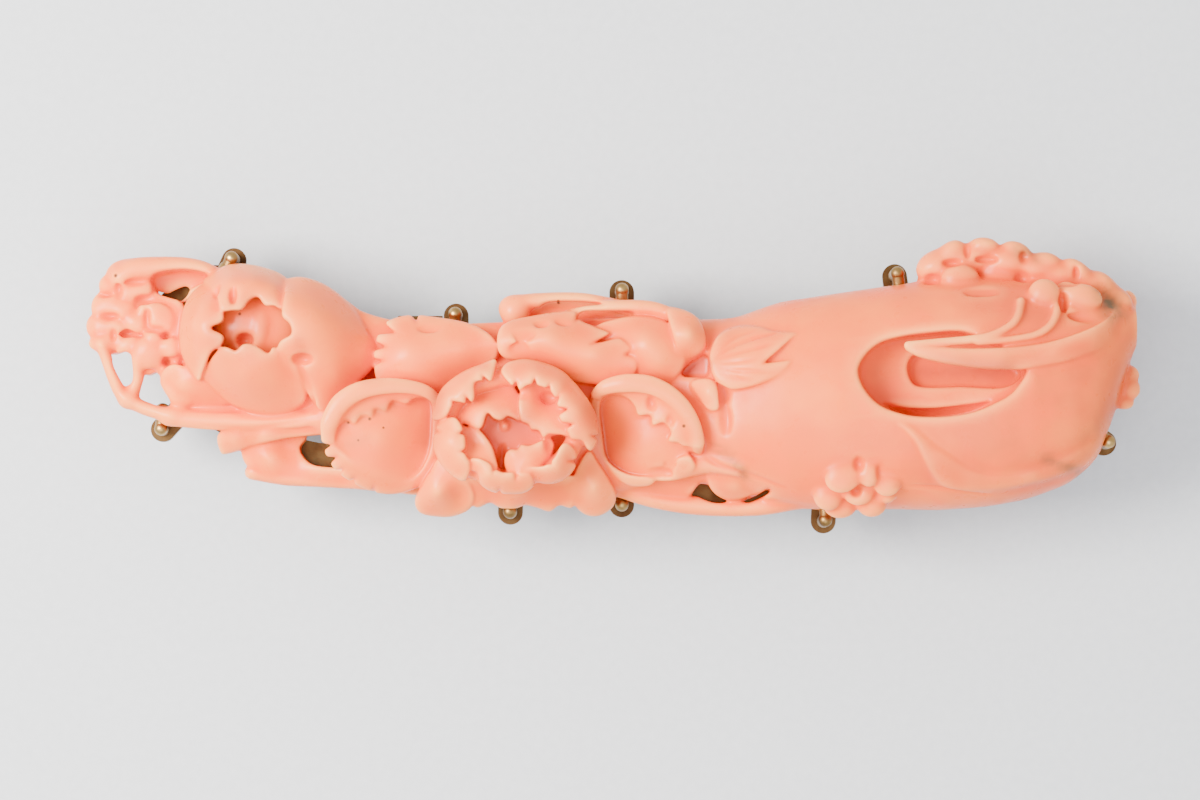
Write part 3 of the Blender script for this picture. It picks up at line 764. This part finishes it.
# The ribbon over the pit, its heights from the skin, and how far that is lowered towards the right end
RIBBON = dict(rim=[(23.2, 2.75, 0.05), (25, 2.75, 0.35), (28, 2.6, 0.45), (31.4, 2.7, 0.45),
    (34.4, 3.1, 0.45), (36.8, 3.8, 0.5), (38.8, 4.7, 0.55), (40, 5.7, 0.6), (40.5, 6.8, 0.7),
    (41.4, 7.6, 0.8), (42.2, 7, 0.9), (42, 5.6, 0.9), (41.2, 4.1, 0.7), (39.8, 2.9, 0.55), (37.6, 2, 0.45),
    (35, 1.3, 0.4), (31.8, 0.9, 0.35), (28.4, 1.05, 0.35), (25.6, 1.55, 0.3), (23.9, 2.1, 0.15)],
    inner=[(27, 2, 0.5), (31, 1.8, 0.55), (35, 2.3, 0.6), (38.4, 3.6, 0.7), (41, 5.8, 0.9)], thick=1.1)
RIBBON_DROP = [
    (23, 2, 0), (34, 2, 0), (38, 3.4, -0.2), (40, 4.6, -0.6), (41.2, 5.6, -1.4), (42.2, 6.6, -2.4),
    (40.6, 7.4, -1.2), (36, 3, 0), (30, 2, 0),
]

# The band that wraps the body's lower right, its heights from the skin
BAND = dict(rim=[(22.9, -3.4, 0), (24.2, -4.2, 0.1), (25.4, -5.2, 0.12), (26.9, -6.2, 0.12),
    (28.2, -7, 0.1), (29.8, -7.5, 0.1), (31.8, -7.5, 0.1), (33.8, -7, 0.1), (35.8, -6.2, 0.1),
    (37.8, -5.2, 0.1), (39.2, -4.4, 0), (38.9, -5.6, 0.3), (37.4, -6.6, 0.4), (34.4, -7.7, 0.4),
    (31, -8.4, 0.4), (27.9, -8.6, 0.4), (26.4, -8.2, 0.45), (25.4, -7.3, 0.5), (24.7, -6.1, 0.5),
    (24.2, -5, 0.4), (23.4, -3.9, 0.2)],
    inner=[(25.6, -6.3, 0.42), (28.4, -7.9, 0.4), (33.6, -7.5, 0.38)], thick=1.2)

# Fine grooves and creases on the skin: route of x, y, radius, lift
GROOVES = [
    dict(points=[(7, -5.6), (8.3, -6.5), (9.6, -7), (11.6, -7.6), (13.8, -8.4)],
        radii=[0.2, 0.3, 0.3, 0.2, 0.1], lift=0.1),
    dict(points=[(22.6, -8.3), (25.4, -8.35), (27.4, -8.7), (30, -8.9)], radii=[0.16, 0.2, 0.2, 0.1],
        lift=0.08),
    dict(points=[(8.2, 2), (9.6, 2.9), (11.2, 3.5), (13, 3.9)], radii=[0.08, 0.2, 0.2, 0.1], lift=0.08),
    dict(points=[(8.2, 1.8), (9.8, 2.3), (11.4, 2.7), (13, 3.1)], radii=[0.06, 0.17, 0.17, 0.08],
        lift=0.07),
    dict(points=[(8.3, 1.5), (9.8, 1.6), (11.4, 1.8)], radii=[0.06, 0.16, 0.08], lift=0.07),
    dict(points=[(8.2, 1.2), (9.8, 0.9), (11.6, 0.8), (13, 0.7)], radii=[0.06, 0.17, 0.17, 0.08],
        lift=0.07),
    dict(points=[(8.3, 0.8), (9.8, 0.3), (11.2, 0)], radii=[0.06, 0.16, 0.08], lift=0.07),
    dict(points=[(8.6, 2.6), (9.8, 3.6), (11.4, 4.2)], radii=[0.06, 0.16, 0.08], lift=0.07),
    # lines along the long stem of the lower left
    dict(points=[(-33, -3.3), (-29, -3.5), (-25.6, -3.1), (-23.2, -2.6)], radii=[0.08, 0.14, 0.14, 0.08],
        lift=0.04),
    dict(points=[(-31, -2.5), (-27.6, -2.75), (-24.6, -2.5)], radii=[0.06, 0.12, 0.08], lift=0.04),
    # the line between two petals of the left peony
    dict(points=[(-25.1, 1.8), (-24.5, 0.4), (-24, -1), (-23.8, -2.2)], radii=[0.3, 0.3, 0.28, 0.2],
        lift=0.12),
    # the groove and folds in the middle peony
    dict(points=[(-8.7, -5.2), (-8.8, -6.1), (-8.6, -7)], radii=[0.3, 0.35, 0.2], lift=0.1),
]

# Prongs whose seats are cut in the edge: x, y of the foot, outward heading, height of bend, reach of tip
PRONGS = [
    (-30.6, 10.2, 66, 3.6, 1), (-36.3, -3.5, 266, 2.4, 1.4), (-12.6, 5.7, 90, 3.6, 1.2),
    (0.8, 7.6, 90, 4.4, 1.2), (22.9, 8.9, 98, 4.8, 1.3), (39.8, -4.6, -34, 4.8, 1.4),
    (17.1, -10.9, 268, 4.6, 1.3), (0.8, -9.6, 272, 2.6, 1.1), (-8.2, -10.2, 268, 3.6, 1.3),
]
# Their round wire and bead, how far the bead's middle lies under the bend, and the gap that a seat leaves
PRONG_R = 0.55
BEAD_R = 0.68
BEAD_DROP = 0.35
SEAT = 0.08
SEAT_FOOT = -1.0


def cut_seat(stone, x, y, heading, height, inward):
    """Cuts the channel that a prong lies in, and the seat of its bead."""
    c, s = math.cos(math.radians(heading)), math.sin(math.radians(heading))
    bend = (x, y, height)
    tip = (x - inward * c, y - inward * s, height - BEAD_DROP)
    wire = PRONG_R + SEAT
    bead = BEAD_R + SEAT
    tube(stone, [(x, y, SEAT_FOOT), bend], [wire, wire], blend=0.05, cut=True)
    tube(stone, [bend, tip], [wire, wire], blend=0.05, cut=True)
    blob(stone, tip, (bead, bead, bead), blend=0.05, cut=True)


def lobes_on_skin(stone, rows, blend):
    """Rounded lobes whose third value is their lift over the skin."""
    for x, y, lift, *size, turn in rows:
        blob(stone, (x, y, skin_at(x, y) + lift), size, turn, blend=blend)


def carve_body(stone):
    """The branch with its stems, its pit, the ribbon over the pit and the blossoms that sit on it."""
    branch(stone)
    for x, y, z, a, b, c, turn, *lean in LOBES:
        blob(stone, (x, y, z), (a, b, c), turn, lean, blend=0.25)
    for stem in STEMS:
        tube(stone, blend=0.4, **stem)
    pocket(stone, PIT, PIT_FLOOR, blend=0.5)
    pocket(stone, PIT_SLOT, PIT_SLOT_FLOOR, blend=0.4)
    pocket(stone, PIT_GROOVE, PIT_GROOVE_FLOOR)
    shell(stone, skin=bridged, **RIBBON)
    for points, radii in PIT_STEMS:
        tube(stone, [(x, y, skin_at(x, y) + PIT_STEM_LIFT) for x, y in points], radii)
    for x, y, z, *size, turn in OUTER_BLOSSOMS:
        blob(stone, (x, y, z), size, turn, blend=0.6)
    lobes_on_skin(stone, BLOSSOM_LOBES, 0.3)
    lobes_on_skin(stone, PLUM_PETALS, 0.25)


def carve_flowers(stone):
    """The holes and hollows of the flowered end, and the petals and leaves over them."""
    for rim in HOLES:
        pocket(stone, rim, [(x, y, THROUGH) for x, y in rim[:5:2]], blend=0.25)
    for hollow in POCKETS:
        pocket(stone, **hollow)
    for petal in PEONY_LEFT:
        shell(stone, thick=1.5, **petal)
    shell(stone, skin=skin, **LEAF_F)
    shell(stone, skin=skin, blend=0.5, **BAND)
    for leaf in LEAVES:
        shell(stone, **leaf)
    for cup in CUPS:
        pocket(stone, **cup)
    for rim in RIMS:
        tube(stone, blend=0.4, **rim)
    for petal in PEONY_INNER:
        shell(stone, thick=3.0, **petal)
    for petal in PEONY_MIDDLE:
        shell(stone, thick=2.4, **petal)


def carve():
    """The whole stone, polished."""
    stone = Stone(BLOCK_LOW, BLOCK_HIGH)
    carve_body(stone)
    carve_flowers(stone)
    for line in GROOVES:
        groove(stone, **line)
    for x, y, across, along, depth in DENTS:
        z = float(stone.height([(x, y)], BELLY)[0])
        blob(stone, (x, y, z), (across, along, depth), blend=0.35, cut=True)
    for prong in PRONGS:
        cut_seat(stone, *prong)
    stone.polish()
    return stone


# Colours of the coral: in the folds, on thin edges, in the flowers' hearts, and in its flaws
DEEP = (0.74, 0.072, 0.006)
PALE = (0.97, 0.32, 0.075)
BLUSH = (0.43, 0.040, 0.013)
STAIN = (0.11, 0.065, 0.03)
# The plain coral from the left end to the right, and the clouds, warm streaks and dark-hearted specks in it
BODY_COLOURS = [(0.0, (0.84, 0.106, 0.004)), (0.5, (0.82, 0.106, 0.004)), (0.72, (0.77, 0.096, 0.006)),
                (1.0, (0.62, 0.078, 0.010))]
CLOUD = (0.90, 0.17, 0.014)
WARM = (0.84, 0.085, 0.003)
SPECK = (0.10, 0.03, 0.01)
SPECK_CORE = 0.4
HALF_LENGTH = 42.0 * MM
# Patches of blush and of stain: from x, y to x, y, reach, strength
BLUSHES = [
    (-30.4, 3.6, -28.6, 4.6, 1.9, 0.55), (-8.6, -4, -7.6, -3.6, 1.5, 0.8),
    (24.8, 0.9, 31.2, 0.9, 0.9, 0.75), (21.4, 0.6, 21.6, -0.4, 1.2, 0.35),
    (-14.6, -4.6, -13.9, -1.2, 0.8, 0.6), (-1.4, -2.2, -0.4, -5.4, 0.9, 0.55),
    (-35.8, 8.4, -33.6, 8.4, 0.8, 0.6), (6.2, 1, 7.4, 1.4, 0.6, 0.95), (-18.8, 0.6, -19.6, 0.4, 0.6, 0.5),
    (-24.9, 3.2, -24.6, 2.4, 0.5, 0.4), (24, -5, 25.2, -7.6, 0.7, 0.3), (29, 6.2, 34, 5.6, 1, 0.25),
]
STAINS = [
    (39.3, 7, 40.2, 5.6, 0.9, 1), (32.4, 10.6, 34, 10.1, 0.55, 0.6), (8.6, -5.3, 10.6, -7.4, 0.4, 0.6),
    (34.4, -6.1, 37.6, -7.2, 0.45, 0.6), (37.6, -4.8, 39.4, -2.4, 0.9, 0.22),
    (-22.2, -5.4, -19.6, -4.4, 0.5, 0.2), (-21, -3, -17.4, -1.8, 0.35, 0.3),
]
# Dark specks: x, y and size
SPECKS = [
    (-19.3, -2.9, 0.17), (-21, -3.2, 0.14), (5.7, -3.5, 0.18), (-4.3, 6.6, 0.16),
    (-29.7, 5.5, 0.16), (-39.8, 8.7, 0.2), (-18.2, -3.6, 0.12), (-20.2, -4.6, 0.12),
]

# How many cells round a point count for a fold, and for the mass of stone round it
FOLD_REACH = 4
MASS_REACH = 11
# The filled share at which a fold, a deep place and a thin edge start and are full
FOLD_SHARES = (0.53, 0.80)
MASS_SHARES = (0.49, 0.74)
EDGE_SHARES = (0.24, 0.50)
# The noises' grain, in cycles to a metre
CLOUD_GRAIN = 160.0
WARM_GRAIN = 260.0
RIPPLE_GRAIN = 380.0
STAIN_GRAIN = 700.0
GLOSS_GRAIN = 900.0
WEAR_GRAIN = 420.0
CAST_GRAIN = 1100.0
CLOTH_GRAIN = 1400.0
# How far the coral, the metal and the floor rise and fall with them
RIPPLE_HEIGHT = 0.08 * MM
CAST_HEIGHT = 0.05 * MM
CLOTH_HEIGHT = 0.1 * MM
# The metal: its colours, and the heights between which the shade under the stone fades
METAL_BROWN = (0.09, 0.045, 0.016)
METAL_WORN = (0.30, 0.18, 0.06)
METAL_RUBBED = (0.50, 0.34, 0.13)
METAL_SHADE = (0.045, 0.017, 0.008)
SHADE_LOW = 6.3 * MM
SHADE_HIGH = 8.8 * MM
FLOOR_DARK = (0.475, 0.488, 0.505)
FLOOR_PALE = (0.505, 0.518, 0.535)
FLOOR_SIZE = 3.0
SKY = (0.96, 0.97, 1.0, 1.0)
SKY_STRENGTH = 1.75
# Square lights: name, place, target, size, power, colour
LIGHTS = [
    ("key", (-0.17, 0.02, 0.21), (-0.01, 0.0, 0.0), 0.12, 2.7, (1.0, 0.96, 0.9)),
    ("fill", (0.0, -0.2, 0.5), (0.0, 0.0, 0.01), 0.4, 2.4, (0.95, 0.97, 1.0)),
]
# The camera: from where it looks to, how high over the horizon, how far, and how wide a strip it sees there
CAMERA_TARGET = Vector((-0.00096, -0.0012, 0.012))
CAMERA_ELEVATION = math.radians(88.0)
CAMERA_DISTANCE = 0.5
CAMERA_WIDTH = 0.096
SENSOR = 36.0


def box_blur(field, reach, passes=2):
    """The field averaged over a cube of the given half width in cells, some passes over."""
    for _ in range(passes):
        for axis in range(3):
            f = np.moveaxis(field, axis, 0)
            padded = np.concatenate([np.repeat(f[:1], reach + 1, 0), f, np.repeat(f[-1:], reach, 0)])
            total = np.cumsum(padded, 0, dtype=np.float32)
            f[:] = (total[2 * reach + 1:] - total[:-2 * reach - 1]) / (2 * reach + 1)
    return field


def sample(field, cells):
    """The field's value at places given in cells, read between the eight cells around each."""
    low = np.clip(np.floor(cells).astype(int), 0, np.array(field.shape) - 2)
    share = np.clip(cells - low, 0.0, 1.0)
    total = np.zeros(len(cells), np.float32)
    for corner in np.ndindex(2, 2, 2):
        weight = np.prod(np.where(corner, share, 1.0 - share), axis=1)
        total += weight * field[tuple((low + corner).T)]
    return total


def to_row(places):
    """Table places in millimetres as places in the row frame in metres."""
    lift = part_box("coral_carving")[0].z
    return (places + [0.0, MIDDLE_Y, 0.0]) * MM + [0.0, 0.0, lift]


def table_places(piece):
    """The places of a mesh's vertices in the tables' frame, in millimetres."""
    places = np.empty(len(piece.data.vertices) * 3)
    piece.data.vertices.foreach_get("co", places)
    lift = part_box("coral_carving")[0].z
    return (places.reshape(-1, 3) - [0.0, 0.0, lift]) / MM - [0.0, MIDDLE_Y, 0.0]


def stone_mesh(stone):
    """The stone's surface as a mesh in the row frame, thinned to the triangle budget."""
    grid = openvdb.FloatGrid(background=FAR)
    grid.copyFromArray(stone.field)
    points, _, quads = grid.convertToPolygons(isovalue=0.0, adaptivity=0.0)
    quads = quads[:, ::-1]
    mesh = bpy.data.meshes.new("coral")
    mesh.vertices.add(len(points))
    mesh.vertices.foreach_set("co", to_row(np.array(points, np.float64) * VOXEL + stone.low).ravel())
    mesh.loops.add(quads.size)
    mesh.loops.foreach_set("vertex_index", quads.ravel().astype(np.int32))
    mesh.polygons.add(len(quads))
    mesh.polygons.foreach_set("loop_start", np.arange(0, quads.size, 4, dtype=np.int32))
    mesh.update(calc_edges=True)
    piece = bpy.data.objects.new("carved_coral", mesh)
    bpy.context.collection.objects.link(piece)
    thin = piece.modifiers.new("thin", "DECIMATE")
    thin.ratio = MOST_TRIANGLES / (2.0 * len(quads))
    result = bpy.data.meshes.new_from_object(piece.evaluated_get(bpy.context.evaluated_depsgraph_get()))
    piece.modifiers.clear()
    piece.data = result
    bpy.data.meshes.remove(mesh)
    result.name = "carved_coral"
    result.polygons.foreach_set("use_smooth", np.ones(len(result.polygons), bool))
    return piece


def store(piece, name, values):
    """Stores a value on each vertex, for the materials."""
    layer = piece.data.attributes.new(name, "FLOAT", "POINT")
    layer.data.foreach_set("value", values)


def mark_relief(piece, stone):
    """Stores how filled the stone is close round each vertex and further round it."""
    cells = (table_places(piece) - stone.low) / VOXEL
    filled = np.clip(0.5 - stone.field / VOXEL, 0.0, 1.0).astype(np.float32)
    for name, reach in (("fold", FOLD_REACH), ("mass", MASS_REACH)):
        filled = box_blur(filled, reach)
        store(piece, name, sample(filled, cells))


def mark_patches(piece, name, patches):
    """Stores how much each vertex of the upper side lies in a patch of colour."""
    x, y, z = table_places(piece).T
    share = np.zeros(len(x))
    for x1, y1, x2, y2, reach, strength in patches:
        length = (x2 - x1) ** 2 + (y2 - y1) ** 2
        t = np.clip(((x - x1) * (x2 - x1) + (y - y1) * (y2 - y1)) / length, 0.0, 1.0)
        gap = np.hypot(x - x1 - t * (x2 - x1), y - y1 - t * (y2 - y1)) / reach
        share = np.maximum(share, strength * np.exp(-gap * gap))
    store(piece, name, share * (z > BELLY))


def node(tree, kind, **settings):
    """Adds a shader node with the given properties."""
    made = tree.nodes.new(kind)
    for key, value in settings.items():
        setattr(made, key, value)
    return made


def ramp(tree, source, stops, low=0.0, high=1.0):
    """A colour ramp over a value from low to high; stops are position and colour or grey."""
    spread = node(tree, "ShaderNodeMapRange")
    spread.inputs["From Min"].default_value = low
    spread.inputs["From Max"].default_value = high
    tree.links.new(source, spread.inputs["Value"])
    made = node(tree, "ShaderNodeValToRGB")
    bar = made.color_ramp.elements
    while len(bar) < len(stops):
        bar.new(0.5)
    for spot, (place, colour) in zip(bar, stops):
        spot.position = place
        spot.color = (*colour, 1.0) if isinstance(colour, tuple) else (colour, colour, colour, 1.0)
    tree.links.new(spread.outputs["Result"], made.inputs["Fac"])
    return made.outputs["Color"]


def mix(tree, share, a, b, blend="MIX"):
    """Mixes colour b into colour a; any of the three may be a socket or a value."""
    made = node(tree, "ShaderNodeMix", data_type="RGBA", blend_type=blend)
    for index, value in ((0, share), (6, a), (7, b)):
        if isinstance(value, bpy.types.NodeSocket):
            tree.links.new(value, made.inputs[index])
        else:
            made.inputs[index].default_value = value if index == 0 else (*value, 1.0)
    return made.outputs[2]


def noise(tree, place, scale, detail=3.0, rough=0.5, distortion=0.0):
    """Noise over a place socket."""
    made = node(tree, "ShaderNodeTexNoise")
    made.inputs["Scale"].default_value = scale
    made.inputs["Detail"].default_value = detail
    made.inputs["Roughness"].default_value = rough
    made.inputs["Distortion"].default_value = distortion
    tree.links.new(place, made.inputs["Vector"])
    return made.outputs["Fac"]


def along(tree, place, axis):
    """One axis of a place socket."""
    split = node(tree, "ShaderNodeSeparateXYZ")
    tree.links.new(place, split.inputs[0])
    return split.outputs[axis]


def material(name):
    """A new material with its tree, its surface shader and the object's own coordinates."""
    made = bpy.data.materials.new(name)
    made.use_nodes = True
    tree = made.node_tree
    place = node(tree, "ShaderNodeTexCoord").outputs["Object"]
    return made, tree, tree.nodes["Principled BSDF"], place


def bump(tree, shader, source, strength, distance):
    """Raises the surface a little after a value."""
    made = node(tree, "ShaderNodeBump")
    made.inputs["Strength"].default_value = strength
    made.inputs["Distance"].default_value = distance
    tree.links.new(source, made.inputs["Height"])
    tree.links.new(made.outputs["Normal"], shader.inputs["Normal"])


def speck(tree, place, x, y, size):
    """1 in a dark speck round x, y, and 0 outside it."""
    flat = node(tree, "ShaderNodeVectorMath", operation="MULTIPLY")
    flat.inputs[1].default_value = (1.0, 1.0, 0.0)
    tree.links.new(place, flat.inputs[0])
    gap = node(tree, "ShaderNodeVectorMath", operation="DISTANCE")
    gap.inputs[1].default_value = (x * MM, (y + MIDDLE_Y) * MM, 0.0)
    tree.links.new(flat.outputs["Vector"], gap.inputs[0])
    return ramp(tree, gap.outputs["Value"], [(0.0, 1.0), (1.0, 0.0)], size * MM * SPECK_CORE, size * MM)


def coral_colour(tree, place):
    """Pale on thin edges, orange red in the folds and hearts, a little dustier to the right, and stained."""
    fold, mass, blush, stain = (node(tree, "ShaderNodeAttribute", attribute_name=name).outputs["Fac"]
                                for name in ("fold", "mass", "blush", "stain"))
    cloud = ramp(tree, noise(tree, place, CLOUD_GRAIN, 4.0), [(0.40, 0.0), (0.68, 0.7)])
    warm = ramp(tree, noise(tree, place, WARM_GRAIN, 3.0, 0.5, 0.6), [(0.48, 0.0), (0.72, 0.7)])
    patchy = ramp(tree, noise(tree, place, STAIN_GRAIN), [(0.35, 0.35), (0.6, 1.0)])
    colour = ramp(tree, along(tree, place, "X"), BODY_COLOURS, -HALF_LENGTH, HALF_LENGTH)
    colour = mix(tree, cloud, colour, CLOUD)
    colour = mix(tree, warm, colour, WARM)
    colour = mix(tree, ramp(tree, mass, [(0.0, 0.0), (1.0, 0.95)], *MASS_SHARES), colour, DEEP)
    colour = mix(tree, ramp(tree, fold, [(0.0, 0.0), (1.0, 0.9)], *FOLD_SHARES), colour, DEEP)
    colour = mix(tree, ramp(tree, fold, [(0.0, 1.0), (1.0, 0.0)], *EDGE_SHARES), colour, PALE)
    colour = mix(tree, blush, colour, BLUSH)
    colour = mix(tree, mix(tree, 1.0, stain, patchy, "MULTIPLY"), colour, STAIN)
    for x, y, size in SPECKS:
        colour = mix(tree, speck(tree, place, x, y, size), colour, SPECK)
    return colour


def coral_material():
    """Polished coral, a little translucent."""
    made, tree, shader, place = material("coral")
    tree.links.new(coral_colour(tree, place), shader.inputs["Base Color"])
    gloss = ramp(tree, noise(tree, place, GLOSS_GRAIN, 4.0), [(0.3, 0.24), (0.7, 0.42)])
    tree.links.new(gloss, shader.inputs["Roughness"])
    bump(tree, shader, noise(tree, place, RIPPLE_GRAIN), 0.25, RIPPLE_HEIGHT)
    shader.inputs["IOR"].default_value = 1.45
    shader.inputs["Specular IOR Level"].default_value = 0.22
    shader.inputs["Subsurface Weight"].default_value = 0.4
    shader.inputs["Subsurface Radius"].default_value = (1.0, 0.35, 0.2)
    shader.inputs["Subsurface Scale"].default_value = 0.0013
    return made


def metal_material():
    """Worn gilt brass: gold where it is rubbed, brown where it is not, and dark under the stone."""
    made, tree, shader, place = material("gilt_metal")
    wear = noise(tree, place, WEAR_GRAIN, 5.0, 0.6)
    gilt = ramp(tree, wear, [(0.30, METAL_BROWN), (0.5, METAL_WORN), (0.72, METAL_RUBBED)])
    shade = ramp(tree, along(tree, place, "Z"), [(0.0, 0.85), (1.0, 0.0)], SHADE_LOW, SHADE_HIGH)
    tree.links.new(mix(tree, shade, gilt, METAL_SHADE), shader.inputs["Base Color"])
    tree.links.new(ramp(tree, wear, [(0.3, 0.5), (0.7, 0.26)]), shader.inputs["Roughness"])
    bump(tree, shader, noise(tree, place, CAST_GRAIN, 4.0), 0.3, CAST_HEIGHT)
    shader.inputs["Metallic"].default_value = 1.0
    return made


def floor_material():
    """Plain pale floor with a faint grain."""
    made, tree, shader, place = material("floor")
    grain = noise(tree, place, CLOTH_GRAIN)
    tree.links.new(ramp(tree, grain, [(0.3, FLOOR_DARK), (0.7, FLOOR_PALE)]), shader.inputs["Base Color"])
    tree.links.new(ramp(tree, grain, [(0.0, 0.85), (1.0, 0.95)]), shader.inputs["Roughness"])
    bump(tree, shader, grain, 0.2, CLOTH_HEIGHT)
    return made


def make_floor():
    """A plain floor under the piece."""
    bpy.ops.mesh.primitive_plane_add(size=FLOOR_SIZE, location=(0.0, 0.0, 0.0))
    floor = bpy.context.object
    floor.name = "floor"
    floor.data.materials.append(floor_material())


def area_light(name, place, target, size, power, colour):
    """A soft square light that faces the target."""
    data = bpy.data.lights.new(name, "AREA")
    data.size = size
    data.energy = power
    data.color = colour
    lamp = bpy.data.objects.new(name, data)
    bpy.context.collection.objects.link(lamp)
    lamp.location = place
    lamp.rotation_euler = (Vector(target) - Vector(place)).to_track_quat("-Z", "Y").to_euler()


def make_camera():
    """Looks almost straight down, with the photo's up along +Y."""
    data = bpy.data.cameras.new("camera")
    data.sensor_width = SENSOR
    data.lens = SENSOR * CAMERA_DISTANCE / CAMERA_WIDTH
    camera = bpy.data.objects.new("camera", data)
    bpy.context.collection.objects.link(camera)
    back = Vector((0.0, -math.cos(CAMERA_ELEVATION), math.sin(CAMERA_ELEVATION)))
    camera.location = CAMERA_TARGET + CAMERA_DISTANCE * back
    camera.rotation_euler = (math.pi / 2 - CAMERA_ELEVATION, 0.0, 0.0)
    bpy.context.scene.camera = camera


def make_light():
    """A broad soft light from the left, a weak fill and a pale sky."""
    for light in LIGHTS:
        area_light(*light)
    world = bpy.data.worlds.new("sky")
    world.use_nodes = True
    sky = world.node_tree.nodes["Background"]
    sky.inputs["Color"].default_value = SKY
    sky.inputs["Strength"].default_value = SKY_STRENGTH
    bpy.context.scene.world = world


def make_coral():
    """The carved coral, in place of its CAD node."""
    stone = carve()
    piece = stone_mesh(stone)
    mark_relief(piece, stone)
    mark_patches(piece, "blush", BLUSHES)
    mark_patches(piece, "stain", STAINS)
    piece.data.materials.append(coral_material())
    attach(piece, "root")
    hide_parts("coral_carving")


def finish_metal():
    """The metal keeps its CAD shape and gets its worn finish."""
    finish = metal_material()
    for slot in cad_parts["prong_mount"].material_slots:
        slot.material = finish


make_coral()
finish_metal()
make_floor()
make_light()
make_camera()
